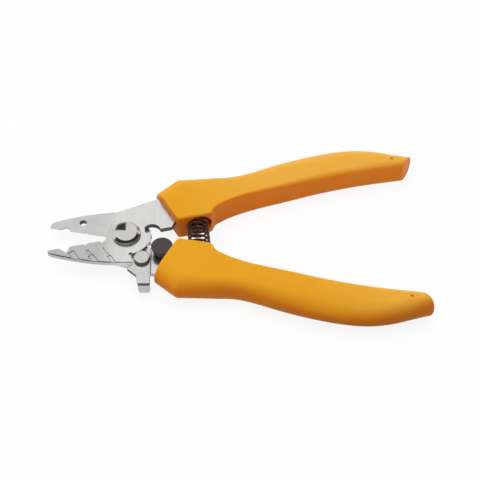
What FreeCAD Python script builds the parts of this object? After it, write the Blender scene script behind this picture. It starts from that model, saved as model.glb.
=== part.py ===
"""Cable stripping pliers: two crossing blades on a pivot bolt, moulded grips, a return spring and a latch.

Each half of the tool is drawn in the closed pose: the pivot is at the origin, the jaws point along -X,
and the half that is drawn has its grip above the X axis and its jaw below it. The front half is then turned
up by half_opening. The rear half is the mirror image, turned down by the same angle.
"""
import FreeCAD, Part
import math
import os

# Opening and fits
half_opening = 12.0
running_clearance = 0.03
thread_clearance = 0.05
sliding_gap = 0.05
moving_gap = 0.4

# Blades
blade_thickness = 2.35
jaw_length = 33.0
jaw_tip_setback = 1.1
jaw_tip_depth = 2.7
jaw_back_bow = 1.4
jaw_back_bevel = 0.3
edge_offset = 0.85
edge_land = 0.25
edge_bevel_angle = 68.0
throat_x = 8.9
flank_bow = 0.75
boss_radius = 10.35
heel_radius = 14.7
heel_relief_radius = 0.75
shoulder_x = 1.25
shoulder_y = 12.95
catch_angle = 19.5
ledge_x = 7.8
ledge_y = 0.35
scallop_start_x = 8.1
scallop_start_y = 2.2
scallop_depth = 2.1
land_start_x = 14.4
land_end_x = 19.2
land_drop = 0.2
jaw_hole_radius = 1.5
jaw_hole_x = 20.1
jaw_hole_y = 4.5

# Stripping notches: distance from the pivot, width and depth in each jaw
outer_notch_x = 26.0
outer_notch_width = 4.6
outer_notch_depth = 2.8
outer_notch_lean = 0.45
outer_round_radius = 1.65
middle_notch_x = 17.3
middle_notch_width = 1.5
middle_notch_depth = 0.8
middle_round_radius = 0.6
inner_notch_x = 10.4
inner_notch_width = 2.0
inner_notch_depth = 1.1
inner_round_radius = 0.55

# Relief channels in the front jaw's face, bordered by fine grooves, from each notch out to the jaw's back
channel_angle = 70.0
channel_depth = 0.15
channel_groove_width = 0.28
channel_groove_depth = 0.45
outer_channel_start = 3.4
outer_channel_width = 2.35
outer_channel_shift = 1.2
middle_channel_start = 3.3
middle_channel_neck = 0.95
middle_channel_run = 6.6
middle_channel_width = 2.35
middle_channel_shift = -1.1
inner_channel_start = 3.5
inner_channel_neck = 0.1
inner_channel_run = 8.4
inner_channel_width = 1.35
inner_channel_shift = -1.4

# Tangs inside the grips
tang_entry_y = 15.9
tang_front_x = 24.5
tang_front_y = 7.0
tang_length = 100.0
tang_width = 6.6
tang_end_width = 4.0
tang_middle_x = 44.0
tang_middle_y = 11.9
tang_end_y = 15.2
anchor_hole_radius = 1.6
anchor_hole_near_x = 56.0
anchor_hole_far_x = 82.0

# Grips
grip_thickness = 12.7
grip_front_x = 16.05
grip_front_y = 18.8
grip_chin_x = 21.75
grip_chin_y = 0.6
pad_start_x = 22.5
pad_end_x = 36.3
pad_gap = 0.15
pad_step_x = 38.4
pad_step_y = 3.3
inner_near_x = 43.0
inner_near_y = 4.9
inner_middle_x = 60.0
inner_middle_y = 7.5
inner_far_x = 92.0
inner_far_y = 9.2
grip_end_inner_x = 123.3
grip_end_inner_y = 8.0
grip_end_outer_x = 128.8
grip_end_outer_y = 12.9
outer_far_x = 110.0
outer_far_y = 22.3
belly_x = 88.0
belly_y = 25.1
waist_x = 60.0
waist_y = 21.65
neck_x = 46.0
neck_y = 20.9
grip_shoulder_x = 26.3
grip_shoulder_y = 24.65
outer_edge_radius = 6.0
inner_edge_radius = 1.3
end_edge_radius = 1.0
gate_mark_x = 119.2
gate_mark_y = 12.0
gate_mark_radius = 0.75
gate_mark_depth = 0.7

# Return spring
spring_radius = 4.25
spring_wire_radius = 0.45
spring_pitch = 2.3
spring_x = 30.2
spring_pocket_depth = 4.7
spring_pocket_clearance = 0.3
spring_seat_gap = 0.15

# Pivot
pivot_radius = 3.0
pivot_thread_radius = 2.5
pivot_head_radius = 5.9
pivot_head_height = 1.05
pivot_face_radius = 4.65
pivot_face_rise = 0.7
cone_washer_radius = 6.1
cone_washer_top_radius = 5.95
cone_washer_height = 1.1
lock_washer_radius = 4.9
lock_washer_thickness = 0.8
nut_across_flats = 10.0
nut_cap_thickness = 0.7

# Latch
latch_angle = 49.5
lever_boss_radius = 3.5
lever_thickness = 1.8
latch_washer_thickness = 0.25
latch_washer_radius = 3.0
rivet_radius = 1.7
rivet_head_radius = 3.35
rivet_head_height = 1.5
rivet_head_round = 0.6
rivet_collar_radius = 3.0
rivet_collar_thickness = 0.8
rivet_tail_length = 0.5
tooth_height = 0.6
tooth_start_angle = 31.0
tooth_end_angle = 36.5
tooth_flank_angle = 1.2
nose_gap = 0.3
nose_tip_angle = 26.4
nose_root_angle = 29.0
nose_back_x = 3.6
nose_back_y = 5.8
hook_recess_x = 1.9
hook_recess_y = 3.1
lever_wing_x = 5.9
lever_wing_y = 4.7
lever_wing_neck_y = 2.6
lever_waist_x = 2.2
lever_waist_y = 8.1
tab_width = 4.8
tab_left_x = 1.3
tab_y = 13.0
tab_height = 5.7
tab_thickness = 1.5
tab_corner_radius = 1.3
tab_bend_radius = 1.4

# Closing stop
stop_x = 16.2
stop_top_radius = 4.6
stop_base_radius = 3.3
stop_height = 4.2
stop_edge_round = 0.35
stop_relief_gap = 0.3
stop_screw_radius = 1.25
stop_screw_depth = 2.2
stop_screw_head_radius = 2.5
stop_screw_head_height = 1.3
stop_screw_slot_width = 0.6
stop_screw_slot_depth = 0.6
stop_washer_radius = 3.1
stop_washer_thickness = 0.5

# Heights above the surface that the tool lies on
blade_plane = grip_thickness / 2
rear_bottom = blade_plane - blade_thickness
front_bottom = blade_plane + sliding_gap
front_top = front_bottom + blade_thickness


def point(x, y, z=0.0):
    return FreeCAD.Vector(x, y, z)


def polar(radius, degrees):
    angle = math.radians(degrees)
    return point(radius * math.cos(angle), radius * math.sin(angle))


def line(start, end):
    return Part.LineSegment(start, end).toShape()


def arc(start, middle, end):
    return Part.Arc(start, middle, end).toShape()


def bowed(start, end, bow):
    """Arc from start to end that bows out to the right of the way from start to end."""
    way = end - start
    side = point(way.y, -way.x)
    side.normalize()
    return arc(start, (start + end) * 0.5 + side * bow, end)


def chain(points):
    return [line(points[i], points[i + 1]) for i in range(len(points) - 1)]


def curve(points, first_way, last_way):
    spline = Part.BSplineCurve()
    spline.interpolate(Points=points, InitialTangent=first_way, FinalTangent=last_way)
    return spline.toShape()


def prism(edges, bottom, height):
    face = Part.Face(Part.Wire(Part.__sortEdges__(edges)))
    solid = face.extrude(point(0, 0, height))
    solid.translate(point(0, 0, bottom))
    return solid


def polygon_prism(points, bottom, height):
    return prism(chain(points + [points[0]]), bottom, height)


def disc(radius, bottom, height, x=0.0, y=0.0):
    return Part.makeCylinder(radius, height, point(x, y, bottom))


def cone(bottom_radius, top_radius, bottom, height, x=0.0, y=0.0):
    return Part.makeCone(bottom_radius, top_radius, height, point(x, y, bottom))


def ring(radius, hole_radius, bottom, height, x=0.0, y=0.0):
    return disc(radius, bottom, height, x, y).cut(disc(hole_radius, bottom, height, x, y))


def turn(shape, degrees):
    turned = shape.copy()
    turned.rotate(point(0, 0), point(0, 0, 1), degrees)
    return turned


def front_half(shape):
    """Open the half that carries the front blade."""
    return turn(shape, half_opening)


def rear_half(shape):
    """Mirror a half and open it as the half that carries the rear blade."""
    return turn(shape.mirror(point(0, 0), point(0, 1, 0)), -half_opening)


def rear_spot(spot):
    return rear_half(Part.Vertex(spot)).Point


# Places shared by several pieces, in the closed half
latch_distance = boss_radius + moving_gap + lever_boss_radius
latch_spot = polar(latch_distance, latch_angle)
stop_layer_height = front_top - blade_plane
stop_slope = (stop_top_radius - stop_base_radius) / stop_height
stop_contact_radius = stop_base_radius + stop_slope * stop_layer_height
stop_spot = point(stop_x, land_drop + sliding_gap + stop_contact_radius)
pad_rise = math.tan(math.radians(half_opening))
spring_mouth_y = spring_x * pad_rise + pad_gap / math.cos(math.radians(half_opening))
spring_seat_y = spring_mouth_y + spring_pocket_depth


def tang_center(x):
    share = (x - tang_middle_x) / (tang_length - tang_middle_x)
    return tang_middle_y + share * (tang_end_y - tang_middle_y)


def blade_outline(edge_y, with_tooth):
    """Closed edge loop of one blade, with its cutting edge at edge_y."""
    tip = point(-jaw_length, edge_y)
    tip_back = point(-jaw_length + jaw_tip_setback, -jaw_tip_depth)
    tip_corner = point(-jaw_length, edge_y - (edge_y + jaw_tip_depth) / 2)
    heel_end = point(0, -heel_radius)
    heel_root = point(0, -boss_radius)
    catch = polar(boss_radius, -catch_angle)
    ledge = point(ledge_x, -ledge_y)
    scallop_start = point(scallop_start_x, scallop_start_y)
    land_start = point(land_start_x, -land_drop)
    scallop_middle_x = (scallop_start_x + land_start_x) / 2
    scallop_middle = point(scallop_middle_x, (scallop_start_y - land_drop) / 2 + scallop_depth)
    land_end = point(land_end_x, -land_drop)
    tang_front = point(tang_front_x, tang_front_y)
    tang_low_middle = point(tang_middle_x, tang_middle_y - tang_width / 2)
    tang_low_end = point(tang_length, tang_end_y - tang_end_width / 2)
    tang_high_end = point(tang_length, tang_end_y + tang_end_width / 2)
    tang_high_middle = point(tang_middle_x, tang_middle_y + tang_width / 2)
    tang_entry = point(grip_front_x, tang_entry_y)
    shoulder = point(-shoulder_x, shoulder_y)
    throat = point(-throat_x, edge_y)

    edges = chain([throat, tip, tip_corner, tip_back])
    edges.append(bowed(tip_back, heel_end, jaw_back_bow))
    edges.append(line(heel_end, heel_root))
    if with_tooth:
        edges += boss_with_tooth(heel_root, catch)
    else:
        edges.append(arc(heel_root, polar(boss_radius, -(90 + catch_angle) / 2), catch))
    edges += chain([catch, ledge, scallop_start])
    edges.append(arc(scallop_start, scallop_middle, land_start))
    edges += chain([land_start, land_end, tang_front, tang_low_middle, tang_low_end, tang_high_end,
                    tang_high_middle, tang_entry, shoulder])
    edges.append(bowed(throat, shoulder, -flank_bow))
    return edges


def boss_with_tooth(heel_root, catch):
    """Round edge of the boss with the low tooth that the latch holds."""
    crown = boss_radius + tooth_height
    foot_low = polar(boss_radius, -tooth_end_angle)
    crown_low = polar(crown, -tooth_end_angle + tooth_flank_angle)
    crown_middle = polar(crown, -(tooth_start_angle + tooth_end_angle) / 2)
    crown_high = polar(crown, -tooth_start_angle)
    foot_high = polar(boss_radius, -tooth_start_angle)
    return [arc(heel_root, polar(boss_radius, -(90 + tooth_end_angle) / 2), foot_low),
            line(foot_low, crown_low),
            arc(crown_low, crown_middle, crown_high),
            line(crown_high, foot_high),
            arc(foot_high, polar(boss_radius, -(tooth_start_angle + catch_angle) / 2), catch)]


def blade(edge_y, bottom, with_tooth=False):
    plate = prism(blade_outline(edge_y, with_tooth), bottom, blade_thickness)
    plate = plate.cut(disc(pivot_radius + running_clearance, bottom, blade_thickness))
    plate = plate.cut(disc(heel_relief_radius, bottom, blade_thickness, 0, -boss_radius))
    for x in (anchor_hole_near_x, anchor_hole_far_x):
        plate = plate.cut(disc(anchor_hole_radius, bottom, blade_thickness, x, tang_center(x)))
    return plate


def vee_notch(x, width, depth, lean=0.0):
    """Notch in the front jaw's cutting edge; lean moves its root towards the pivot."""
    points = [point(-x - width / 2, -edge_offset), point(-x + lean, -edge_offset - depth),
              point(-x + width / 2, -edge_offset), point(-x, -edge_offset + depth)]
    return polygon_prism(points, front_bottom, blade_thickness)


def relief_channel(x, start, stop, width, shift):
    """Stretch of the channel of the notch at x, with a groove along each side and across its start."""
    length = stop - start
    low = shift - width / 2
    half_groove = channel_groove_width / 2
    groove_floor = front_top - channel_groove_depth
    channel = Part.makeBox(length, width, channel_depth, point(start, low, front_top - channel_depth))
    grooves = [(length, channel_groove_width, point(start, side - half_groove, groove_floor))
               for side in (low, low + width)]
    grooves.append((channel_groove_width, width + channel_groove_width,
                    point(start - half_groove, low - half_groove, groove_floor)))
    for run, across, corner in grooves:
        channel = channel.fuse(Part.makeBox(run, across, channel_groove_depth, corner))
    channel.rotate(point(0, 0), point(0, 0, 1), -channel_angle)
    channel.translate(point(-x, -edge_offset))
    return channel


def jaw_back_edges(plate):
    """Upper edge along the back of the front jaw."""
    return [edge for edge in plate.Edges if edge.BoundBox.ZMin > front_top - sliding_gap
            and edge.BoundBox.XMin < -jaw_length / 2 and edge.BoundBox.YMin < -heel_radius / 2]


def make_front_blade():
    plate = blade(-edge_offset, front_bottom, with_tooth=True)
    plate = plate.makeChamfer(jaw_back_bevel, jaw_back_edges(plate))
    cuts = [vee_notch(outer_notch_x, outer_notch_width, outer_notch_depth, outer_notch_lean),
            vee_notch(middle_notch_x, middle_notch_width, middle_notch_depth),
            vee_notch(inner_notch_x, inner_notch_width, inner_notch_depth)]
    reach = heel_radius + jaw_length
    channels = ((outer_notch_x, outer_channel_start, reach, outer_channel_width, outer_channel_shift),
                (middle_notch_x, middle_channel_start, middle_channel_run, middle_channel_neck,
                 middle_channel_shift),
                (middle_notch_x, middle_channel_run, reach, middle_channel_width, middle_channel_shift),
                (inner_notch_x, inner_channel_start, inner_channel_run, inner_channel_neck,
                 inner_channel_shift),
                (inner_notch_x, inner_channel_run, reach, inner_channel_width, inner_channel_shift))
    cuts += [relief_channel(*sizes) for sizes in channels]
    for shape in cuts:
        plate = plate.cut(shape)
    return plate


def underside_bevel(edge_y):
    """Wedge ground off below the rear jaw's cutting edge, which leaves a narrow land at the top."""
    height = blade_thickness - edge_land
    run = height * math.tan(math.radians(edge_bevel_angle))
    corners = [point(-throat_x, edge_y, blade_plane - edge_land), point(-throat_x, edge_y, rear_bottom),
               point(-throat_x, edge_y - run, rear_bottom)]
    wedge = Part.Face(Part.Wire(chain(corners + [corners[0]])))
    return wedge.extrude(point(-jaw_length, 0, 0))


def make_rear_blade():
    plate = blade(edge_offset, rear_bottom)
    plate = plate.cut(underside_bevel(edge_offset))
    rounds = ((outer_notch_x, outer_round_radius), (middle_notch_x, middle_round_radius),
              (inner_notch_x, inner_round_radius))
    for x, radius in rounds:
        plate = plate.cut(disc(radius, rear_bottom, blade_thickness, -x, edge_offset))
    plate = plate.cut(disc(jaw_hole_radius, rear_bottom, blade_thickness, -jaw_hole_x, -jaw_hole_y))
    plate = plate.cut(disc(rivet_radius + running_clearance, rear_bottom, blade_thickness,
                           latch_spot.x, latch_spot.y))
    return plate.cut(disc(stop_screw_radius + thread_clearance, rear_bottom, blade_thickness,
                          stop_spot.x, stop_spot.y))


def grip_outline():
    chin = point(grip_chin_x, grip_chin_y)
    front = point(grip_front_x, grip_front_y)
    shoulder = point(grip_shoulder_x, grip_shoulder_y)
    neck = point(neck_x, neck_y)
    pad_step = point(pad_step_x, pad_step_y)
    end_inner = point(grip_end_inner_x, grip_end_inner_y)
    end_outer = point(grip_end_outer_x, grip_end_outer_y)
    inner_points = [pad_step, point(inner_near_x, inner_near_y), point(inner_middle_x, inner_middle_y),
                    point(inner_far_x, inner_far_y), end_inner]
    outer_points = [end_outer, point(outer_far_x, outer_far_y), point(belly_x, belly_y),
                    point(waist_x, waist_y), neck]
    edges = chain([shoulder, front, chin, point(pad_start_x, pad_gap), point(pad_end_x, pad_gap), pad_step])
    edges.append(curve(inner_points, inner_points[1] - pad_step, end_inner - inner_points[3]))
    edges.append(line(end_inner, end_outer))
    edges.append(curve(outer_points, outer_points[1] - end_outer, shoulder - neck))
    edges.append(line(neck, shoulder))
    return edges


def long_edges(solid, along_outer_side):
    """Lengthwise top and bottom edges on the outer side or on the inner side of a grip."""
    chosen = []
    for edge in solid.Edges:
        box = edge.BoundBox
        middle = edge.valueAt((edge.FirstParameter + edge.LastParameter) / 2)
        on_top_or_bottom = box.ZLength < grip_thickness / 4
        past_front = box.XMin > grip_front_x - sliding_gap
        behind_pad = box.XMin > pad_step_x - sliding_gap
        long_enough = box.XLength > grip_end_outer_x - grip_end_inner_x + sliding_gap
        outer = middle.y > (inner_far_y + belly_y) / 2 and past_front
        inner = middle.y < (inner_far_y + belly_y) / 2 and behind_pad
        if on_top_or_bottom and long_enough and (outer if along_outer_side else inner):
            chosen.append(edge)
    return chosen


def end_face(solid):
    """Flat face across the free end of a grip."""
    return max(solid.Faces, key=lambda face: face.CenterOfMass.x)


def stop_relief():
    """Hollow in the front of the lower grip that keeps it clear of the closing stop."""
    return disc(stop_top_radius + stop_relief_gap, blade_plane, stop_height + stop_relief_gap,
                stop_spot.x, stop_spot.y)


def make_grip(blade_solid):
    body = prism(grip_outline(), 0, grip_thickness)
    body = body.makeFillet(outer_edge_radius, long_edges(body, True))
    body = body.makeFillet(inner_edge_radius, long_edges(body, False))
    body = body.makeFillet(end_edge_radius, end_face(body).OuterWire.Edges)
    pocket_radius = spring_radius + spring_wire_radius + spring_pocket_clearance
    pocket_start = point(spring_x, 0, blade_plane)
    pocket = Part.makeCylinder(pocket_radius, spring_seat_y, pocket_start, point(0, 1, 0))
    pocket = turn(pocket, -half_opening)
    gate_floor = grip_thickness - gate_mark_depth
    gate_mark = disc(gate_mark_radius, gate_floor, gate_mark_depth, gate_mark_x, gate_mark_y)
    return body.cut(pocket).cut(gate_mark).cut(blade_solid)


def make_return_spring():
    """Coil between the two grips, straight across the open tool."""
    half_length = spring_seat_y - spring_seat_gap - spring_wire_radius
    helix = Part.makeHelix(spring_pitch, 2 * half_length, spring_radius)
    section = Part.Wire(Part.makeCircle(spring_wire_radius, point(spring_radius, 0, 0), point(0, 1, 0)))
    coil = Part.Wire(helix.Edges).makePipeShell([section], True, True)
    coil.rotate(point(0, 0), point(1, 0, 0), -90)
    coil.translate(point(spring_x, -half_length, blade_plane))
    return coil


def make_pivot_bolt():
    head_bottom = front_top + sliding_gap + cone_washer_height
    head = cone(pivot_head_radius, pivot_face_radius, head_bottom, pivot_head_height)
    face = cone(pivot_face_radius, 0, head_bottom + pivot_head_height, pivot_face_rise)
    shoulder = disc(pivot_radius, rear_bottom, head_bottom - rear_bottom)
    thread = disc(pivot_thread_radius, nut_cap_thickness + sliding_gap, rear_bottom - nut_cap_thickness)
    return head.fuse([face, shoulder, thread]).removeSplitter()


def make_pivot_cone_washer():
    bottom = front_top + sliding_gap
    body = cone(cone_washer_radius, cone_washer_top_radius, bottom, cone_washer_height)
    return body.cut(disc(pivot_radius + running_clearance, bottom, cone_washer_height))


def make_pivot_lock_washer():
    hole = pivot_thread_radius + thread_clearance
    return ring(lock_washer_radius, hole, rear_bottom - lock_washer_thickness, lock_washer_thickness)


def make_pivot_nut():
    height = rear_bottom - lock_washer_thickness
    corner_radius = nut_across_flats / math.sqrt(3)
    hexagon = polygon_prism([polar(corner_radius, 60 * i) for i in range(6)], 0, height)
    bore = disc(pivot_thread_radius + thread_clearance, nut_cap_thickness, height - nut_cap_thickness)
    return hexagon.cut(bore)


def lever_bottom():
    return blade_plane + latch_washer_thickness


def make_latch_lever():
    """Latch lever in the open pose, with a bent thumb tab at one end and a hook at the other."""
    spot = rear_spot(latch_spot)
    nose_radius = boss_radius + tooth_height + nose_gap
    nose_tip = polar(nose_radius, -nose_tip_angle - half_opening) - spot
    nose_root = polar(nose_radius, -nose_root_angle - half_opening) - spot
    arm = [nose_tip, nose_root, point(hook_recess_x, hook_recess_y), point(0, 0),
           point(lever_boss_radius, 0), point(nose_back_x, nose_back_y)]
    tab_right_x = tab_width - tab_left_x
    leg = [point(lever_boss_radius, 0), point(tab_right_x, -tab_y), point(-tab_left_x, -tab_y),
           point(-lever_waist_x, -lever_waist_y), point(-lever_wing_x, -lever_wing_y),
           point(-lever_boss_radius, -lever_wing_neck_y), point(-lever_boss_radius, 0)]
    bottom = lever_bottom()
    body = disc(lever_boss_radius, bottom, lever_thickness)
    body = body.fuse(polygon_prism(arm, bottom, lever_thickness))
    body = body.fuse(polygon_prism(leg, bottom, lever_thickness))
    tab_low = bottom + lever_thickness - tab_height
    tab = Part.makeBox(tab_width, tab_thickness, tab_height, point(-tab_left_x, -tab_y, tab_low))
    corners = [edge for edge in tab.Edges if edge.BoundBox.YLength > tab_thickness / 2
               and edge.BoundBox.ZMax < tab_low + sliding_gap]
    tab = tab.makeFillet(tab_corner_radius, corners)
    body = body.fuse(tab).removeSplitter()
    bend = [edge for edge in body.Edges if abs(edge.BoundBox.YMax + tab_y) < sliding_gap
            and abs(edge.BoundBox.ZMin - bottom - lever_thickness) < sliding_gap]
    body = body.makeFillet(tab_bend_radius, bend)
    body = body.cut(disc(rivet_radius + running_clearance, bottom, lever_thickness))
    body.translate(point(spot.x, spot.y))
    return body


def make_latch_washer():
    spot = rear_spot(latch_spot)
    return ring(latch_washer_radius, rivet_radius + running_clearance, blade_plane, latch_washer_thickness,
                spot.x, spot.y)


def make_latch_rivet():
    spot = rear_spot(latch_spot)
    head_bottom = lever_bottom() + lever_thickness + sliding_gap
    tail = rear_bottom - rivet_collar_thickness - rivet_tail_length
    head = disc(rivet_head_radius, head_bottom, rivet_head_height, spot.x, spot.y)
    rim = [edge for edge in head.Edges if edge.BoundBox.ZMin > head_bottom + rivet_head_height / 2]
    head = head.makeFillet(rivet_head_round, rim)
    shank = disc(rivet_radius, tail, head_bottom - tail, spot.x, spot.y)
    return head.fuse(shank).removeSplitter()


def make_latch_rivet_collar():
    spot = rear_spot(latch_spot)
    bottom = rear_bottom - rivet_collar_thickness
    return ring(rivet_collar_radius, rivet_radius + running_clearance, bottom, rivet_collar_thickness,
                spot.x, spot.y)


def make_closing_stop():
    spot = rear_spot(stop_spot)
    body = cone(stop_base_radius, stop_top_radius, blade_plane, stop_height, spot.x, spot.y)
    rim = [edge for edge in body.Edges if edge.BoundBox.ZMin > blade_plane + stop_height / 2]
    body = body.makeFillet(stop_edge_round, rim)
    hole_radius = stop_screw_radius + thread_clearance
    return body.cut(disc(hole_radius, blade_plane, stop_screw_depth, spot.x, spot.y))


def make_stop_screw():
    spot = rear_spot(stop_spot)
    head_top = rear_bottom - stop_washer_thickness
    head_bottom = head_top - stop_screw_head_height
    head = disc(stop_screw_head_radius, head_bottom, stop_screw_head_height, spot.x, spot.y)
    slot_corner = point(spot.x - stop_screw_head_radius, spot.y - stop_screw_slot_width / 2, head_bottom)
    slot = Part.makeBox(2 * stop_screw_head_radius, stop_screw_slot_width, stop_screw_slot_depth, slot_corner)
    shank_top = blade_plane + stop_screw_depth - thread_clearance
    shank = disc(stop_screw_radius, head_top, shank_top - head_top, spot.x, spot.y)
    return head.cut(slot).fuse(shank).removeSplitter()


def make_stop_screw_washer():
    spot = rear_spot(stop_spot)
    return ring(stop_washer_radius, stop_screw_radius + thread_clearance, rear_bottom - stop_washer_thickness,
                stop_washer_thickness, spot.x, spot.y)


def make_pieces():
    front_plate = make_front_blade()
    rear_plate = make_rear_blade()
    return {
        "front_blade": front_half(front_plate),
        "rear_blade": rear_half(rear_plate),
        "upper_grip": front_half(make_grip(front_plate)),
        "lower_grip": rear_half(make_grip(rear_plate).cut(stop_relief())),
        "return_spring": make_return_spring(),
        "pivot_bolt": make_pivot_bolt(),
        "pivot_cone_washer": make_pivot_cone_washer(),
        "pivot_lock_washer": make_pivot_lock_washer(),
        "pivot_nut": make_pivot_nut(),
        "latch_lever": make_latch_lever(),
        "latch_washer": make_latch_washer(),
        "latch_rivet": make_latch_rivet(),
        "latch_rivet_collar": make_latch_rivet_collar(),
        "closing_stop": make_closing_stop(),
        "stop_screw": make_stop_screw(),
        "stop_screw_washer": make_stop_screw_washer(),
    }


os.makedirs("parts", exist_ok=True)
for name, shape in make_pieces().items():
    shape.exportStep("parts/" + name + ".step")
    print(name, "valid", shape.isValid(), "solids", len(shape.Solids), "volume", round(shape.Volume, 1))
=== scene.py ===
"""Looks of the cable stripping tool: moulded grips, ground steel blades, return spring and studio light."""
import functools
import math

import bmesh
import bpy
import numpy as np
from mathutils import Matrix, Vector


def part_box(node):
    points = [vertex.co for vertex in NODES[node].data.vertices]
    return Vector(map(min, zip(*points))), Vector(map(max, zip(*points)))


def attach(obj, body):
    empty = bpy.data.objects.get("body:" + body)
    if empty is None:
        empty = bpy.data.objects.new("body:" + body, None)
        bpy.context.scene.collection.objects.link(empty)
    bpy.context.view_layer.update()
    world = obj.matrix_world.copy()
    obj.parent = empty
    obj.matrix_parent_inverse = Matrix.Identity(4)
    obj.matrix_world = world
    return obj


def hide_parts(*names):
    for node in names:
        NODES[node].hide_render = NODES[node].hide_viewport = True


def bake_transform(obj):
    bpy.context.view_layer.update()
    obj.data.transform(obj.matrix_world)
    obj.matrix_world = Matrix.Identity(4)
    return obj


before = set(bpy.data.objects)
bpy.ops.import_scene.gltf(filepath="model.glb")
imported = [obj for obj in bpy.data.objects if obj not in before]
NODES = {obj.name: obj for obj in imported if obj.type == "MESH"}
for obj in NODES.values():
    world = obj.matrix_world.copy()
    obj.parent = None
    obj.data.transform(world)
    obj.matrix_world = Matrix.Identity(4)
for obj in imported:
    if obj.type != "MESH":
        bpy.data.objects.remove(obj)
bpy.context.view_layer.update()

MM = 0.001

# Camera, in the photograph's frame
CAMERA_TARGET = Vector((47.15, -1.99, 6.35)) * MM
CAMERA_DISTANCE = 450.5 * MM
CAMERA_ELEVATION = 51.91
CAMERA_AZIMUTH = -1.57
CAMERA_ROLL = 0.24
CAMERA_LENS = 81.1
CAMERA_CLIP = 0.01

# Tent: dark in front and to the right, with a round dark card at the back left; each pair is a fade's limits
DARK_SIDE = (0.407, -0.914, 0.0)
DARK_SIDE_EDGE = (-0.5, -0.3)
DARK_SIDE_TOP = (0.77, 0.84)
DARK_LEVEL = 0.35
DARK_MIRRORED_LEVEL = 0.045
DARK_FLAG_FOOT = (0.26, 0.36)
CARD_PLACE = (-0.3305, 0.808, 0.488)
CARD_RADIUS = 14.1
CARD_BLUR = 0.6

# Lamp and floor, in metres
LAMP_PLACE = (-0.10, 0.15, 0.90)
LAMP_AIM = (0.05, 0, 0)
LAMP_SIZE = (0.8, 0.6)
LAMP_ENERGY = 3.2
FLOOR_HALF = 2.0
FLOOR_HEIGHT = -0.0002
FLOOR_WHITE = 0.95
FLOOR_GLOW = 0.88
FLOOR_GLOSSY_GLOW = 0.35
FLOOR_BOUNCE = 0.85
FLOOR_FRONT_BOUNCE = 0.2
FLOOR_SHADE = (-0.07, -0.02)

# Grip outline in the closed half, in mm: the pivot is at the origin and the grip lies above the X axis
HALF_OPENING = 12.0
GRIP_FRONT = (16.05, 18.8)
GRIP_CHIN = (21.75, 0.6)
PAD_START = (22.5, 0.15)
PAD_END = (36.3, 0.15)
PAD_STEP = (38.4, 3.3)
INNER_CURVE = ((43.0, 5.0), (60.0, 7.5), (80.0, 8.45), (100.0, 9.0))
END_INNER = (123.3, 8.0)
END_OUTER = (128.8, 12.9)
OUTER_CURVE = ((110.0, 22.3), (88.0, 25.1), (60.0, 21.65))
GRIP_NECK = (46.0, 20.9)
GRIP_SHOULDER = (26.3, 24.65)
GRIP_THICKNESS = 12.7
BLADE_PLANE = 6.35

# Radii of the outline's upright corners, in mm
SHOULDER_CORNER = 2.5
FRONT_CORNER = 0.5
CHIN_CORNER = 0.3
PAD_START_CORNER = 0.35
PAD_END_CORNER = 2.0
PAD_STEP_CORNER = 4.0
END_CORNER = 0.3

# Flat cuts across the grip's front and end, and the round cuts into it, in mm
FRONT_OVERRUN = 10.0
FRONT_ROUND = 1.1
FRONT_ROUND_SIDE_SHARE = 0.3
END_OVERRUN = 5.0
END_ROUND = 0.3
END_ROUND_SIDE_SHARE = 1.0
CUT_STEPS = 5
GATE_MARK = (119.2, 12.0)
GATE_MARK_RADIUS = 0.75
GATE_MARK_DEPTH = 0.7
GATE_MARK_SIDES = 24
POCKET_RADIUS = 5.2
STOP_RELIEF_GAP = 0.3
CUTTER_EXCESS = 1
CUTTER_SIDES = 64

# Rounding of the grip's top and bottom edges along each run of the outline, in mm, as (share of the run,
# reach inwards, height, share of both that the bottom edge gets)
SHOULDER_ROUNDING = ((0, 7.0, 6.2, 1.0), (1, 7.0, 6.2, 1.0))
FRONT_ROUNDING = ((0, 1.2, 1.2, 0.45), (1, 1.2, 1.2, 0.45))
CHIN_ROUNDING = ((0, 1.2, 1.2, 0.45), (1, 1.2, 1.2, 0.45))
PAD_ROUNDING = ((0, 1.2, 1.2, 0.45), (0.5, 1.0, 1.0, 0.45), (1, 0.8, 1.0, 0.45))
STEP_ROUNDING = ((0, 0.8, 1.0, 0.45), (1, 0.8, 0.8, 0.45))
INNER_ROUNDING = ((0, 0.8, 0.8, 0.45), (0.06, 0.8, 0.8, 0.45), (0.3, 1.5, 1.5, 1.0), (0.54, 2.7, 2.7, 1.0),
                  (0.8, 2.8, 2.8, 1.0), (1, 2.5, 2.5, 1.0))
END_ROUNDING = ((0, 2.5, 2.5, 1.0), (1, 2.5, 2.5, 1.0))
OUTER_ROUNDING = ((0, 2.6, 6.2, 1.0), (0.165, 5.6, 6.2, 1.0), (0.25, 6.8, 6.2, 1.0), (0.44, 9.0, 6.2, 1.0),
                  (0.64, 6.5, 6.2, 1.0), (0.82, 4.8, 6.2, 1.0), (1, 7.0, 6.2, 1.0))
ROUNDING_STEPS = 12
CORNER_STEPS = 5
OUTLINE_STEP = 1.2
OUTLINE_GAP = 0.2
MERGE = 0.01

# Return spring, in mm
SPRING_X = 30.2
SPRING_SEAT = 11.27
SPRING_RADIUS = 4.25
WIRE_RADIUS = 0.45
SPRING_SEAT_GAP = 0.15
SPRING_PITCH = 2.3
SPRING_CLOSED_TURNS = 1.0
SPRING_SHIFT = -0.2
SPRING_LEAN = 0.07
SPRING_STEPS = 48
WIRE_SIDES = 14

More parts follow.
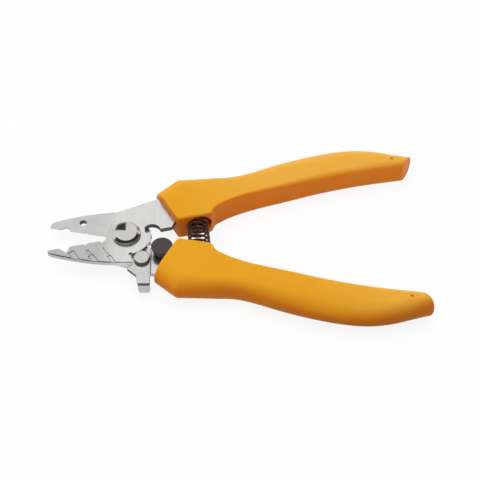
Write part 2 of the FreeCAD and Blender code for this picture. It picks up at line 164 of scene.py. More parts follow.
# Where the steel is dulled or gets painted shade on its walls, and where the grips get a painted sheen, in
# metres; each pair is a fade's start and stop
PAINTED_SHADE_COLOUR = (0.20, 0.195, 0.19)
EDGE_ROUGHNESS = 0.5
FRONT_JAW_SHARE = 0.72
REAR_JAW_SHARE = 0.86
JAW_ROOT = (-0.012, -0.002)
JAW_HOLE = (-0.018725, 0.008581, 0.005175)
JAW_HOLE_WALL = (0.0022, 0.0026)
SCALLOP_X = (0.003, 0.005)
SCALLOP_Y = (-0.001, 0.001)
GROOVE_FLOOR = (0.00060, 0.00052)
GROOVE_RIM = (0.00020, 0.00012)
GROOVE_ROOT = (-0.004, -0.002)
TAB_WALL = (0.0013, 0.0017)
TAB_BEND = (0.0014, 0.0020)
# Painted sheen on the grips: their flat faces turn paler as X + Y runs through these limits
PAINTED_SHEEN_PART = (0.035, 0.085)

# Fades by slope, which is 0 on upright walls and 1 on level faces
WALL_SLOPE = (0.3, 0.7)
RIM_SLOPE = (0.5, 0.95)
BEND_LOW_SLOPE = (0.35, 0.5)
BEND_HIGH_SLOPE = (0.88, 0.96)
# Painted shade on the grips: from the first slope down the walls take the deeper orange, from the second up
# the flat faces keep their own
PAINTED_SHADE_SLOPE = (0.3, 0.99)

# Broken edges, in mm, and smoothing, in degrees
BEVEL_WIDTH = 0.12
OWN_BEVEL_WIDTHS = {"front_blade": 0.08, "rear_blade": 0.10, "closing_stop": 0.3}
BEVEL_SEGMENTS = 2
BEVEL_ANGLE = 28
FLAT_ANGLE = 0.5
WELD_DISTANCE = 0.001
GRIP_SMOOTH_ANGLE = 35
WIRE_SMOOTH_ANGLE = 50
WASHER_CLEARANCE = 0.03


def camera():
    """Camera at the photograph's viewing angle."""
    a, e, r = (math.radians(v) for v in (CAMERA_AZIMUTH, CAMERA_ELEVATION, CAMERA_ROLL))
    back = Vector((math.sin(a) * math.cos(e), -math.cos(a) * math.cos(e), math.sin(e)))
    right = Vector((math.cos(a), math.sin(a), 0))
    up = back.cross(right)
    rolled_right = right * math.cos(r) + up * math.sin(r)
    rolled_up = up * math.cos(r) - right * math.sin(r)
    data = bpy.data.cameras.new("camera")
    data.lens = CAMERA_LENS
    data.clip_start = CAMERA_CLIP
    seen = new_object("camera", data)
    turn = Matrix((rolled_right, rolled_up, back)).transposed().to_4x4()
    seen.matrix_world = Matrix.Translation(CAMERA_TARGET + back * CAMERA_DISTANCE) @ turn
    bpy.context.scene.camera = seen


def new_object(name, data):
    made = bpy.data.objects.new(name, data)
    bpy.context.scene.collection.objects.link(made)
    return made


# Node helpers

def new_material(name):
    made = bpy.data.materials.new(name)
    made.use_nodes = True
    tree = made.node_tree
    tree.nodes.clear()
    return made, tree


def node(tree, kind, inputs=None, **settings):
    """New shader node; inputs maps a socket to a value or to another node's output socket."""
    made = tree.nodes.new("ShaderNode" + kind)
    for key, value in settings.items():
        setattr(made, key, value)
    for key, value in (inputs or {}).items():
        if isinstance(value, bpy.types.NodeSocket):
            tree.links.new(value, made.inputs[key])
        else:
            made.inputs[key].default_value = value
    return made


def noise(tree, coordinate, scale, detail=3.0, stretch=(1, 1, 1)):
    """Noise of about 1 / scale metres; a small stretch draws it out along that axis."""
    spread = node(tree, "Mapping", {"Vector": coordinate, "Scale": stretch})
    return node(tree, "TexNoise", {"Vector": spread.outputs[0], "Scale": scale, "Detail": detail}).outputs[0]


def between(tree, value, low, high, start=0.3, stop=0.7):
    """Map a noise value onto a range."""
    return node(tree, "MapRange", {"Value": value, "From Min": start, "From Max": stop,
                                   "To Min": low, "To Max": high}).outputs[0]


def tint(tree, value, dark, light):
    """Colour between two shades, by a noise value."""
    ramp = node(tree, "ValToRGB", {"Fac": value})
    ramp.color_ramp.elements[0].position = 0.3
    ramp.color_ramp.elements[1].position = 0.7
    ramp.color_ramp.elements[0].color = (*dark, 1)
    ramp.color_ramp.elements[1].color = (*light, 1)
    return ramp.outputs[0]


def mixed_colour(tree, share, first, second):
    return node(tree, "Mix", {0: share, 6: first, 7: second}, data_type="RGBA").outputs[2]


def mixed(tree, share, first, second):
    return node(tree, "Mix", {"Factor": share, "A": first, "B": second}).outputs[0]


def surface(tree, **inputs):
    shader = node(tree, "BsdfPrincipled", {key.replace("_", " "): value for key, value in inputs.items()})
    node(tree, "OutputMaterial", {"Surface": shader.outputs[0]})
    return shader


def maths(tree, operation, first, second=0.0):
    return node(tree, "Math", {0: first, 1: second}, operation=operation).outputs[0]


def vector_maths(tree, operation, first, second):
    """Number that a vector operation gives, such as a dot product or a distance."""
    return node(tree, "VectorMath", {0: first, 1: second}, operation=operation).outputs["Value"]


def ease(tree, value, start, stop, low=0.0, high=1.0):
    """Smooth step of a value from low at start to high at stop."""
    return node(tree, "MapRange", {"Value": value, "From Min": start, "From Max": stop, "To Min": low,
                                   "To Max": high}, interpolation_type="SMOOTHSTEP").outputs[0]


def parts(tree, vector):
    return node(tree, "SeparateXYZ", {0: vector}).outputs


def slope(tree, kind="True Normal"):
    """0 on upright walls, 1 on level faces."""
    return maths(tree, "ABSOLUTE", parts(tree, node(tree, "NewGeometry").outputs[kind])["Z"])


# Materials

def grip_plastic():
    """Satin orange moulding compound with a fine eroded grain. Painted shade gives the walls and rounded
    sides a deeper, redder orange than the flat faces, and a painted sheen makes the flat faces paler where X
    + Y is large.
    """
    made, tree = new_material("grip_plastic")
    place = node(tree, "TexCoord").outputs["Object"]
    cloud = noise(tree, place, 60, 2)
    grain = noise(tree, place, 2600, 2)
    # Painted shade: walls and rounded sides get a deeper, redder orange than the flat faces
    painted_wall_shade = ease(tree, slope(tree, "Normal"), *PAINTED_SHADE_SLOPE)
    spot = parts(tree, place)
    # Painted sheen: paler where X + Y is large, over the upper grip and the lower grip's end
    painted_sheen = ease(tree, maths(tree, "ADD", spot["X"], spot["Y"]), *PAINTED_SHEEN_PART)
    # The first tone is the plain one, the second a paler painted sheen, the third the painted shade of the
    # walls
    new = tint(tree, cloud, (0.785, 0.364, 0.010), (0.805, 0.379, 0.014))
    painted_sheen_colour = tint(tree, cloud, (0.815, 0.415, 0.045), (0.835, 0.430, 0.052))
    side = tint(tree, cloud, (0.87, 0.260, 0.010), (0.90, 0.275, 0.012))
    colour = mixed_colour(tree, painted_wall_shade, side, mixed_colour(tree, painted_sheen, new, painted_sheen_colour))
    bump = node(tree, "Bump", {"Height": grain, "Strength": 0.25, "Distance": 0.00002})
    roughness = between(tree, cloud, 0.36, 0.44)
    shader = surface(tree, Base_Color=colour, Roughness=roughness, Normal=bump.outputs[0])
    shader.inputs["Specular IOR Level"].default_value = 0.12
    shader.inputs["Subsurface Weight"].default_value = 0.5
    shader.inputs["Subsurface Radius"].default_value = (1.0, 0.25, 0.05)
    shader.inputs["Subsurface Scale"].default_value = 0.003
    return made


def stop_plastic():
    """Black moulded plastic with a matt, slightly grained face."""
    made, tree = new_material("stop_plastic")
    place = node(tree, "TexCoord").outputs["Object"]
    cloud = noise(tree, place, 300, 3)
    grain = noise(tree, place, 4000, 2)
    bump = node(tree, "Bump", {"Height": grain, "Strength": 0.3, "Distance": 0.00002})
    surface(tree, Base_Color=tint(tree, cloud, (0.038, 0.028, 0.031), (0.050, 0.038, 0.042)),
            Roughness=between(tree, cloud, 0.42, 0.55), Normal=bump.outputs[0])
    return made


def steel(name, dark, light, rough, marks, jaw_share=1.0, edges=None):
    """Bare steel: marks draws tool marks, jaw_share dulls the jaws, edges tells where its walls get painted
    shade.
    """
    made, tree = new_material(name)
    place = node(tree, "TexCoord").outputs["Object"]
    lay = marks(tree, place)
    cloud = noise(tree, place, 250, 3)
    height = node(tree, "Bump", {"Height": lay, "Strength": 0.1, "Distance": 0.00001})
    dull = ease(tree, parts(tree, place)["X"], *JAW_ROOT, jaw_share, 1)
    clean = tint(tree, cloud, dark, light)
    colour = node(tree, "VectorMath", {0: clean, 3: dull}, operation="SCALE").outputs[0]
    roughness = between(tree, lay, *rough)
    # Painted shade: the walls that edges picks out are painted dark and made rougher
    if edges:
        painted_shade_mask = edges(tree, place)
        colour = mixed_colour(tree, painted_shade_mask, colour, (*PAINTED_SHADE_COLOUR, 1))
        roughness = node(tree, "Mix", {0: painted_shade_mask, 2: roughness, 3: EDGE_ROUGHNESS}).outputs[0]
    surface(tree, Base_Color=colour, Metallic=1.0, Roughness=roughness, Normal=height.outputs[0])
    return made


def marks_across(tree, place):
    """Grinding marks across the jaws."""
    return noise(tree, place, 900, 4, (1, 0.06, 1))


def marks_along(tree, place):
    """Rolling marks in the direction of the jaws."""
    return noise(tree, place, 900, 4, (0.06, 1, 1))


def cloudy_marks(tree, place):
    return noise(tree, place, 400, 4)


def turned_marks(tree, place):
    """Fine lathe rings about the pivot."""
    spot = parts(tree, place)
    flat = node(tree, "CombineXYZ", {"X": spot["X"], "Y": spot["Y"]}).outputs[0]
    radius = node(tree, "VectorMath", {0: flat}, operation="LENGTH").outputs["Value"]
    return node(tree, "TexNoise", {"W": radius, "Scale": 5000, "Detail": 2}, noise_dimensions="1D").outputs[0]


def upright(tree):
    """1 on upright walls, 0 on level faces."""
    return ease(tree, slope(tree), *WALL_SLOPE, 1, 0)


def blade_painted_shade(tree, place):
    """Painted shade on a blade's walls: round the scallop behind the pivot, in the jaw hole and in the
    grooves.
    """
    spot = parts(tree, place)
    behind = maths(tree, "MULTIPLY", ease(tree, spot["X"], *SCALLOP_X), ease(tree, spot["Y"], *SCALLOP_Y))
    hole = ease(tree, vector_maths(tree, "DISTANCE", place, JAW_HOLE), *JAW_HOLE_WALL, 1, 0)
    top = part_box("front_blade")[1][2]
    sunk = maths(tree, "MULTIPLY", ease(tree, spot["Z"], *(top - depth for depth in GROOVE_FLOOR)),
                 ease(tree, spot["Z"], *(top - depth for depth in GROOVE_RIM), 1, 0))
    grooves = maths(tree, "MULTIPLY", sunk, ease(tree, spot["X"], *GROOVE_ROOT, 1, 0))
    cuts = maths(tree, "MAXIMUM", grooves, maths(tree, "MAXIMUM", behind, hole))
    return maths(tree, "MULTIPLY", upright(tree), cuts)


def rivet_painted_shade(tree, place):
    """Painted shade on the walls and rounded rim of a rivet head, wherever it is."""
    return ease(tree, slope(tree), *RIM_SLOPE, 1, 0)


def lever_painted_shade(tree, place):
    """Painted shade on the latch lever's walls, without the face of its bent tab, and a dark painted
    reflection on the bend.
    """
    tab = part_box("latch_lever")[0][1]
    along = parts(tree, place)["Y"]
    walls = maths(tree, "MULTIPLY", upright(tree), ease(tree, along, *(tab + reach for reach in TAB_WALL)))
    steep = slope(tree)
    slanted = maths(tree, "MULTIPLY", ease(tree, steep, *BEND_LOW_SLOPE),
                    ease(tree, steep, *BEND_HIGH_SLOPE, 1, 0))
    near_tab = ease(tree, along, *(tab + reach for reach in TAB_BEND), 1, 0)
    return maths(tree, "MAXIMUM", walls, maths(tree, "MULTIPLY", slanted, near_tab))


def spring_steel():
    """Oil-blacked spring wire with a brown cast and barer patches."""
    made, tree = new_material("spring_steel")
    place = node(tree, "TexCoord").outputs["Object"]
    patches = noise(tree, place, 700, 4)
    surface(tree, Base_Color=tint(tree, patches, (0.06, 0.033, 0.027), (0.21, 0.12, 0.098)), Metallic=1.0,
            Roughness=between(tree, patches, 0.22, 0.38))
    return made


# Studio

def mirrored_rays(tree, rays):
    """1 for what is seen in a reflection or through glass."""
    return maths(tree, "MAXIMUM", rays["Is Glossy Ray"], rays["Is Transmission Ray"])


def studio_world():
    """White tent with its dark side and its dark card; the camera itself sees white."""
    world = bpy.data.worlds.new("studio")
    world.use_nodes = True
    tree = world.node_tree
    tree.nodes.clear()
    way = node(tree, "TexCoord").outputs["Generated"]
    height = parts(tree, way)["Z"]
    side = vector_maths(tree, "DOT_PRODUCT", way, DARK_SIDE)
    dark = maths(tree, "MULTIPLY", ease(tree, side, *DARK_SIDE_EDGE),
                 ease(tree, height, *DARK_SIDE_TOP, 1, 0))
    near_card = vector_maths(tree, "DOT_PRODUCT", way, CARD_PLACE)
    rim, core = (math.cos(math.radians(CARD_RADIUS + blur)) for blur in (CARD_BLUR, -CARD_BLUR))
    card = ease(tree, near_card, rim, core)
    rays = node(tree, "LightPath").outputs
    flag = ease(tree, height, *DARK_FLAG_FOOT, 1, DARK_MIRRORED_LEVEL)
    level = mixed(tree, mirrored_rays(tree, rays), DARK_LEVEL, flag)
    tent = mixed(tree, maths(tree, "MAXIMUM", dark, card), 1.0, level)
    strength = mixed(tree, rays["Is Camera Ray"], tent, 1.0)
    background = node(tree, "Background", {"Color": (1, 1, 1, 1), "Strength": strength})
    node(tree, "OutputWorld", {"Surface": background.outputs[0]})
    return world


def floor_paper():
    """White paper that glows towards the camera and in reflections, and still takes a faint shadow.

    In front of the tool its bounce colour is painted darker, as painted shade, so it returns less light.
    """
    made, tree = new_material("floor_paper")
    rays = node(tree, "LightPath").outputs
    spot = parts(tree, node(tree, "NewGeometry").outputs["Position"])
    bounce = ease(tree, spot["Y"], *FLOOR_SHADE, FLOOR_FRONT_BOUNCE, FLOOR_BOUNCE)
    paper = mixed(tree, rays["Is Camera Ray"], bounce, FLOOR_WHITE)
    diffuse = node(tree, "BsdfDiffuse", {"Color": paper})
    glow = node(tree, "Emission")
    direct = maths(tree, "MULTIPLY", rays["Is Camera Ray"], FLOOR_GLOW)
    glossy = maths(tree, "MULTIPLY", mirrored_rays(tree, rays), FLOOR_GLOSSY_GLOW)
    share = maths(tree, "ADD", direct, glossy)
    mix = node(tree, "MixShader", {"Fac": share, 1: diffuse.outputs[0], 2: glow.outputs[0]})
    node(tree, "OutputMaterial", {"Surface": mix.outputs[0]})
    return made


def studio():
    """Tent, floor and one soft lamp overhead."""
    scene = bpy.context.scene
    scene.view_settings.view_transform = "Standard"
    scene.world = studio_world()
    data = bpy.data.meshes.new("floor")
    corners = ((-1, -1), (1, -1), (1, 1), (-1, 1))
    data.from_pydata([(x * FLOOR_HALF, y * FLOOR_HALF, FLOOR_HEIGHT) for x, y in corners], [], [(0, 1, 2, 3)])
    data.materials.append(floor_paper())
    floor = new_object("floor", data)

    lamp = bpy.data.lights.new("softbox", "AREA")
    lamp.energy = LAMP_ENERGY
    lamp.shape = "RECTANGLE"
    lamp.size, lamp.size_y = LAMP_SIZE
    box = new_object("softbox", lamp)
    box.location = LAMP_PLACE
    box.rotation_euler = (Vector(LAMP_AIM) - box.location).to_track_quat("-Z", "Y").to_euler()
    box.visible_glossy = False


# Grips

def cubic(points, leave, arrive):
    """Points about one step apart on the smooth cubic through the given points, with set end directions."""
    knots = np.array(points, float)
    spans = np.linalg.norm(np.diff(knots, axis=0), axis=1)
    count = len(knots)
    system = np.eye(count)
    slopes = np.zeros((count, 2))
    slopes[0], slopes[-1] = leave, arrive
    for i in range(1, count - 1):
        before, after = spans[i - 1], spans[i]
        system[i, i - 1:i + 2] = 1 / before, 2 / before + 2 / after, 1 / after
        slopes[i] = 3 * ((knots[i] - knots[i - 1]) / before ** 2 + (knots[i + 1] - knots[i]) / after ** 2)
    slopes = np.linalg.solve(system, slopes)
    drawn = []
    for i, span in enumerate(spans):
        steps = max(2, round(span / OUTLINE_STEP))
        for t in np.arange(steps) / steps:
            drawn.append((1 + 2 * t) * (1 - t) ** 2 * knots[i] + t * (1 - t) ** 2 * span * slopes[i]
                         + t * t * (3 - 2 * t) * knots[i + 1] + t * t * (t - 1) * span * slopes[i + 1])
    return [Vector(p) for p in [*drawn, knots[-1]]]


def straight(start, stop):
    """Points about one step apart on a straight line."""
    start, stop = Vector(start), Vector(stop)
    count = max(2, round((stop - start).length / OUTLINE_STEP))
    return [start.lerp(stop, i / count) for i in range(count + 1)]


def direction(start, stop):
    return (Vector(stop) - Vector(start)).normalized()


def overrun(start, stop, reach):
    """Point past stop on the line from start."""
    return Vector(stop) + direction(start, stop) * reach


class Corner:
    """Corner of an outline with a rounded upright edge, offset inwards without crossing itself."""

    def __init__(self, before, vertex, after, radius):
        self.vertex = Vector(vertex)
        into, out = direction(before, self.vertex), direction(self.vertex, after)
        self.convex = into.x * out.y - into.y * out.x > 0
        self.half_turn = into.angle(out) / 2
        side = Vector((-into.y, into.x))
        leave = Vector((-out.y, out.x))
        self.bisector = (side + leave).normalized()
        self.radius = radius
        self.reach = radius * math.tan(self.half_turn)
        sign = 1 if self.convex else -1
        self.centre = self.vertex + sign * self.bisector * radius / math.cos(self.half_turn)
        self.first, self.last = -sign * side, -sign * leave

    def mitre(self, depth):
        return self.vertex + self.bisector * depth / math.cos(self.half_turn)

    def arc(self, share, depth):
        """Place on the rounded edge at a share of its turn, moved inwards by depth."""
        spoke = (self.first * (1 - share) + self.last * share).normalized()
        if not self.convex:
            return self.centre + spoke * (self.radius + depth)
        if depth <= self.radius:
            return self.centre + spoke * (self.radius - depth)
        return self.mitre(depth)


def rounding_at(keys, share):
    """Reach, height and bottom share of the rounding at a share of a run, eased between its keys."""
    for (s0, *before), (s1, *after) in zip(keys, keys[1:]):
        if share <= s1:
            t = (share - s0) / (s1 - s0)
            t = t * t * (3 - 2 * t)
            return [a + (b - a) * t for a, b in zip(before, after)]
    return keys[-1][1:]


def edge_place(spot, normal, ends):
    """Inward offset of a point on an edge, stopped at the mitres of the edge's end corners."""
    def place(depth):
        for corner, away in ends:
            if corner.convex and depth * math.tan(corner.half_turn) > away:
                return corner.mitre(depth)
        return spot + normal * depth
    return place


def grip_runs():
    """Each corner with its upright radius, and the points and rounding keys of the run that follows it.

    The outline runs on past the flat front and the flat end, which are cut afterwards.
    """
    front = overrun(GRIP_SHOULDER, GRIP_FRONT, FRONT_OVERRUN)
    chin = overrun(PAD_START, GRIP_CHIN, FRONT_OVERRUN)
    end_inner = overrun(INNER_CURVE[-1], END_INNER, END_OVERRUN)
    end_outer = overrun(OUTER_CURVE[0], END_OUTER, END_OVERRUN)
    inner = [PAD_STEP, *INNER_CURVE, END_INNER, end_inner]
    outer = [end_outer, END_OUTER, *OUTER_CURVE, GRIP_NECK]
    inner_line = cubic(inner, direction(inner[0], inner[1]), direction(inner[-2], inner[-1]))
    outer_curve = cubic(outer, direction(outer[0], outer[1]), direction(GRIP_NECK, GRIP_SHOULDER))
    outer_line = [*outer_curve, *straight(GRIP_NECK, GRIP_SHOULDER)[1:]]
    return (
        (GRIP_SHOULDER, SHOULDER_CORNER, straight(GRIP_SHOULDER, front), SHOULDER_ROUNDING),
        (front, FRONT_CORNER, straight(front, chin), FRONT_ROUNDING),
        (chin, CHIN_CORNER, straight(chin, PAD_START), CHIN_ROUNDING),
        (PAD_START, PAD_START_CORNER, straight(PAD_START, PAD_END), PAD_ROUNDING),
        (PAD_END, PAD_END_CORNER, straight(PAD_END, PAD_STEP), STEP_ROUNDING),
        (PAD_STEP, PAD_STEP_CORNER, inner_line, INNER_ROUNDING),
        (end_inner, END_CORNER, straight(end_inner, end_outer), END_ROUNDING),
        (end_outer, END_CORNER, outer_line, OUTER_ROUNDING),
    )


def grip_stations():
    """Round the grip's outline: how each point moves inwards, and the rounding of its top and bottom edge."""
    runs = grip_runs()
    corners = []
    for i, (vertex, radius, line, _) in enumerate(runs):
        corners.append(Corner(runs[i - 1][2][-2], vertex, line[1], radius))
    stations = []
    for i, (_, _, line, keys) in enumerate(runs):
        here, there = corners[i], corners[(i + 1) % len(corners)]
        for share in np.linspace(0, 1, CORNER_STEPS + 1):
            stations.append((functools.partial(here.arc, share), keys[0][1:]))
        lengths = np.cumsum([0, *((b - a).length for a, b in zip(line, line[1:]))])
        for k in range(1, len(line) - 1):
            to_start, to_end = lengths[k], lengths[-1] - lengths[k]
            if to_start > here.reach + OUTLINE_GAP and to_end > there.reach + OUTLINE_GAP:
                along = direction(line[k - 1], line[k + 1])
                inward = Vector((-along.y, along.x))
                place = edge_place(line[k], inward, ((here, to_start), (there, to_end)))
                stations.append((place, rounding_at(keys, to_start / lengths[-1])))
    return stations


def join_rings(shape, rings):
    """Closed tube of faces from ring to ring."""
    for low, high in zip(rings, rings[1:]):
        for i in range(len(low)):
            j = (i + 1) % len(low)
            shape.faces.new((low[i], low[j], high[j], high[i]))


def to_object(name, shape):
    mesh = bpy.data.meshes.new(name)
    shape.to_mesh(mesh)
    shape.free()
    return new_object(name, mesh)


def lathe_cutter(name, radius, start, stop, sides=CUTTER_SIDES):
    """Closed cylinder between two points, in mm, used to cut a round hole."""
    axis = Vector(stop) - Vector(start)
    turn = axis.to_track_quat("Z", "Y").to_matrix().to_4x4()
    shape = bmesh.new()
    bmesh.ops.create_cone(shape, cap_ends=True, segments=sides, radius1=radius * MM, radius2=radius * MM,
                          depth=axis.length * MM)
    middle = (Vector(start) + Vector(stop)) / 2 * MM
    bmesh.ops.transform(shape, matrix=Matrix.Translation(middle) @ turn, verts=shape.verts)
    return to_object(name, shape)


def cut(piece, cutters):
    """Cut the closed cutter meshes out of a piece and remove them."""
    for cutter in cutters:
        step = piece.modifiers.new("cut", "BOOLEAN")
        step.operation = "DIFFERENCE"
        step.solver = "EXACT"
        step.object = cutter
    ready = piece.evaluated_get(bpy.context.evaluated_depsgraph_get())
    mesh = bpy.data.meshes.new_from_object(ready)
    piece.modifiers.clear()
    piece.data = mesh
    for cutter in cutters:
        bpy.data.objects.remove(cutter)


def cut_flat(shape, first, second, outward, top_round, side_share):
    """Cut a grip, in mm, along the upright plane through two outline points, and round the edge of the cut.

    side_share is the share of the rounding that the sides and the bottom get.
    """
    first, second = Vector((*first, 0)), Vector((*second, 0))
    normal = (second - first).cross(Vector((0, 0, 1))).normalized()
    normal *= math.copysign(1, normal.x * outward)
    for k in range(CUT_STEPS, -1, -1):
        depth = top_round * (1 - math.cos(math.pi / 2 * k / CUT_STEPS))
        everything = [*shape.verts, *shape.edges, *shape.faces]
        bmesh.ops.bisect_plane(shape, geom=everything, dist=MERGE, plane_co=first - normal * depth,
                               plane_no=normal, clear_outer=k == 0)
    shape.normal_update()
    moves = []
    for vert in shape.verts:
        depth = max((first - vert.co).dot(normal), 0.0)
        across = (vert.normal - normal * vert.normal.dot(normal)).normalized()
        share = max(across.z, 0.0)
        radius = top_round * (side_share * (1 - share) + share)
        if depth < radius:
            inset = radius - math.sqrt(radius ** 2 - (radius - depth) ** 2)
            moves.append((vert, -across * inset))
    for vert, move in moves:
        vert.co += move
    bmesh.ops.remove_doubles(shape, verts=shape.verts, dist=MERGE)
    rim = [edge for edge in shape.edges if edge.is_boundary]
    bmesh.ops.edgeloop_fill(shape, edges=rim)


def grip_shape():
    """Upper grip in the closed half, in mm, before its holes: rings of the outline from bottom to top."""
    stations = grip_stations()
    shape = bmesh.new()
    angles = [math.pi / 2 * k / ROUNDING_STEPS for k in range(ROUNDING_STEPS + 1)]
    levels = [(angle, False) for angle in reversed(angles)] + [(angle, True) for angle in angles]
    rings = []
    for angle, top in levels:
        ring = []
        for place, (reach, rise, bottom_share) in stations:
            share = 1.0 if top else bottom_share
            spot = place(share * reach * (1 - math.cos(angle)))
            drop = share * rise * (1 - math.sin(angle))
            height = GRIP_THICKNESS - drop if top else drop
            ring.append(shape.verts.new((spot.x, spot.y, height)))
        rings.append(ring)
    join_rings(shape, rings)
    shape.faces.new(reversed(rings[0]))
    shape.faces.new(rings[-1])
    bmesh.ops.remove_doubles(shape, verts=shape.verts, dist=MERGE)
    bmesh.ops.dissolve_degenerate(shape, edges=shape.edges, dist=MERGE)
    bmesh.ops.recalc_face_normals(shape, faces=shape.faces)
    cut_flat(shape, GRIP_FRONT, GRIP_CHIN, -1, FRONT_ROUND, FRONT_ROUND_SIDE_SHARE)
    cut_flat(shape, END_INNER, END_OUTER, 1, END_ROUND, END_ROUND_SIDE_SHARE)
    return shape


def grip_cutters(turned, side):
    """Spring pocket, gate mark and the hollow round the closing stop."""
    gate = turned @ Vector((*GATE_MARK, GRIP_THICKNESS))
    gate_floor = gate - Vector((0, 0, GATE_MARK_DEPTH))
    gate_top = gate + Vector((0, 0, CUTTER_EXCESS))
    seat = (SPRING_X, side * SPRING_SEAT, BLADE_PLANE)
    low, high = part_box("closing_stop")
    stop_radius = (high[0] - low[0]) / 2 / MM + STOP_RELIEF_GAP
    stop_axis = [(low[i] + high[i]) / 2 / MM for i in (0, 1)]
    relief_top = high[2] / MM + STOP_RELIEF_GAP
    return [
        lathe_cutter("pocket", POCKET_RADIUS, (SPRING_X, 0, BLADE_PLANE), seat),
        lathe_cutter("gate", GATE_MARK_RADIUS, gate_floor, gate_top, GATE_MARK_SIDES),
        lathe_cutter("relief", stop_radius, (*stop_axis, BLADE_PLANE), (*stop_axis, relief_top)),
    ]


def grip(name, body, side, material):
    """Moulded grip that stands for a node; side is 1 for the upper one and -1 for its mirror image."""
    turned = Matrix.Rotation(math.radians(side * HALF_OPENING), 4, "Z") @ Matrix.Scale(side, 4, (0, 1, 0))
    shape = grip_shape()
    bmesh.ops.transform(shape, matrix=Matrix.Scale(MM, 4) @ turned, verts=shape.verts)
    bmesh.ops.recalc_face_normals(shape, faces=shape.faces)
    piece = to_object(name + "_moulding", shape)
    cut(piece, grip_cutters(turned, side))
    finish_smooth(piece)
    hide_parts(name)
    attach(piece, body)
    piece.data.materials.append(material)


def finish_smooth(piece):
    """Smooth shading with sharp edges kept crisp, and normals led by the large faces."""
    piece.data.shade_smooth()
    piece.data.set_sharp_from_angle(angle=math.radians(GRIP_SMOOTH_ANGLE))
    step = piece.modifiers.new("normals", "WEIGHTED_NORMAL")
    step.keep_sharp = True


# Steel pieces

def soften(piece, width, rounded=True):
    """Break the sharp edges of a CAD node: weld its faces, drop flat triangles, bevel, weight the normals."""
    weld = piece.modifiers.new("weld", "WELD")
    weld.merge_threshold = WELD_DISTANCE * MM
    if rounded:
        flat = piece.modifiers.new("flat", "DECIMATE")
        flat.decimate_type = "DISSOLVE"
        flat.angle_limit = math.radians(FLAT_ANGLE)
    bevel = piece.modifiers.new("edges", "BEVEL")
    bevel.width = width * MM
    bevel.segments = BEVEL_SEGMENTS
    bevel.limit_method = "ANGLE"
    bevel.angle_limit = math.radians(BEVEL_ANGLE)
    bevel.use_clamp_overlap = False
    if rounded:
        normals = piece.modifiers.new("normals", "WEIGHTED_NORMAL")
        normals.keep_sharp = False


def ease_off(piece, gap):
    """Running clearance of a piece that another one slides on: draw its faces in by the gap."""
    step = piece.modifiers.new("clearance", "DISPLACE")
    step.strength = -gap * MM
    step.mid_level = 0


def coil_centre(along):
    return SPRING_X + SPRING_SHIFT - SPRING_LEAN * along


def coil_path(length):
    """Middle line of the spring's wire, in mm: an open coil whose end turns close up on its seats."""
    closed_pitch = 2 * WIRE_RADIUS
    active = (length - 2 * SPRING_CLOSED_TURNS * closed_pitch) / SPRING_PITCH
    turns = active + 2 * SPRING_CLOSED_TURNS
    steps = round(turns * SPRING_STEPS)
    path = []
    for i in range(steps + 1):
        turn = turns * i / steps
        low = min(turn, SPRING_CLOSED_TURNS) * closed_pitch
        middle = min(max(turn - SPRING_CLOSED_TURNS, 0), active) * SPRING_PITCH
        high = max(turn - SPRING_CLOSED_TURNS - active, 0) * closed_pitch
        angle = 2 * math.pi * turn
        along = low + middle + high - length / 2
        path.append(Vector((coil_centre(along) + SPRING_RADIUS * math.cos(angle), along,
                            BLADE_PLANE + SPRING_RADIUS * math.sin(angle))))
    return path


def wire(path):
    """Round wire along the coil's middle line, in metres."""
    shape = bmesh.new()
    rings = []
    for i, spot in enumerate(path):
        outward = Vector((spot.x - coil_centre(spot.y), 0, spot.z - BLADE_PLANE)).normalized()
        along = direction(path[max(i - 1, 0)], path[min(i + 1, len(path) - 1)])
        side = along.cross(outward).normalized()
        ring = []
        for k in range(WIRE_SIDES):
            a = 2 * math.pi * k / WIRE_SIDES
            rim = spot + (outward * math.cos(a) + side * math.sin(a)) * WIRE_RADIUS
            ring.append(shape.verts.new(rim * MM))
        rings.append(ring)
    join_rings(shape, rings)
    shape.faces.new(rings[0])
    shape.faces.new(rings[-1])
    bmesh.ops.recalc_face_normals(shape, faces=shape.faces)
    return shape


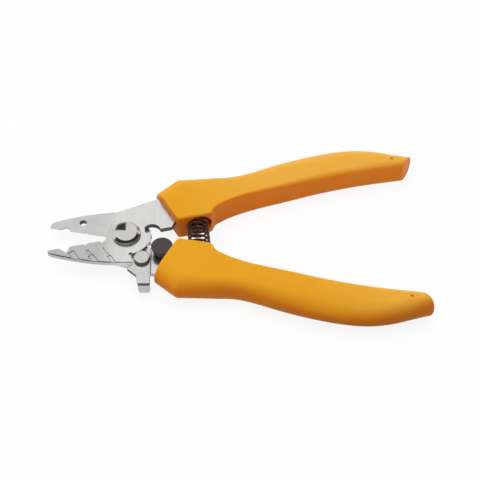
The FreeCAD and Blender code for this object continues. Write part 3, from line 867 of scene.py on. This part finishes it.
def spring(material):
    """Return spring between the two halves that it pushes apart."""
    length = 2 * (SPRING_SEAT - SPRING_SEAT_GAP - WIRE_RADIUS)
    piece = to_object("spring_coil", wire(coil_path(length)))
    piece.data.materials.append(material)
    piece.data.shade_smooth()
    piece.data.set_sharp_from_angle(angle=math.radians(WIRE_SMOOTH_ANGLE))
    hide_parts("return_spring")
    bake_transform(piece)


camera()
studio()
orange = grip_plastic()
grip("upper_grip", "upper_half", 1, orange)
grip("lower_grip", "lower_half", -1, orange)
blacked = spring_steel()
spring(blacked)

# Finishes of the record's material slots, and of the nodes that have one of their own
blade = ((0.69, 0.69, 0.68), (0.74, 0.74, 0.73), (0.20, 0.28), marks_across)
polished = ((0.58, 0.57, 0.56), (0.62, 0.61, 0.60), (0.07, 0.12), turned_marks)
plated = ((0.58, 0.58, 0.57), (0.64, 0.64, 0.63), (0.25, 0.36), cloudy_marks)
pressed = ((0.61, 0.605, 0.60), (0.66, 0.655, 0.65), (0.22, 0.30), marks_along)
rivet = ((0.57, 0.56, 0.55), (0.61, 0.60, 0.59), (0.07, 0.12), cloudy_marks)
finishes = {
    "blade_steel": steel("blade_steel", *blade, FRONT_JAW_SHARE, blade_painted_shade),
    "polished_steel": steel("polished_steel", *polished),
    "plated_steel": steel("plated_steel", *plated),
    "pressed_steel": steel("pressed_steel", *pressed, edges=lever_painted_shade),
    "stop_plastic": stop_plastic(),
    "grip_plastic": orange,
    "spring_steel": blacked,
}
own_finishes = {
    "rear_blade": steel("rear_blade_steel", *blade, REAR_JAW_SHARE, blade_painted_shade),
    "latch_rivet": steel("rivet_steel", *rivet, edges=rivet_painted_shade),
}
for name, piece in NODES.items():
    kind = piece.data.materials[0].name.split(".")[0]
    piece.data.materials[0] = own_finishes.get(name, finishes[kind])
    if name == "pivot_bolt":
        piece.data.shade_flat()
        soften(piece, BEVEL_WIDTH, rounded=False)
    elif not piece.hide_render:
        soften(piece, OWN_BEVEL_WIDTHS.get(name, BEVEL_WIDTH))
ease_off(NODES["latch_washer"], WASHER_CLEARANCE)
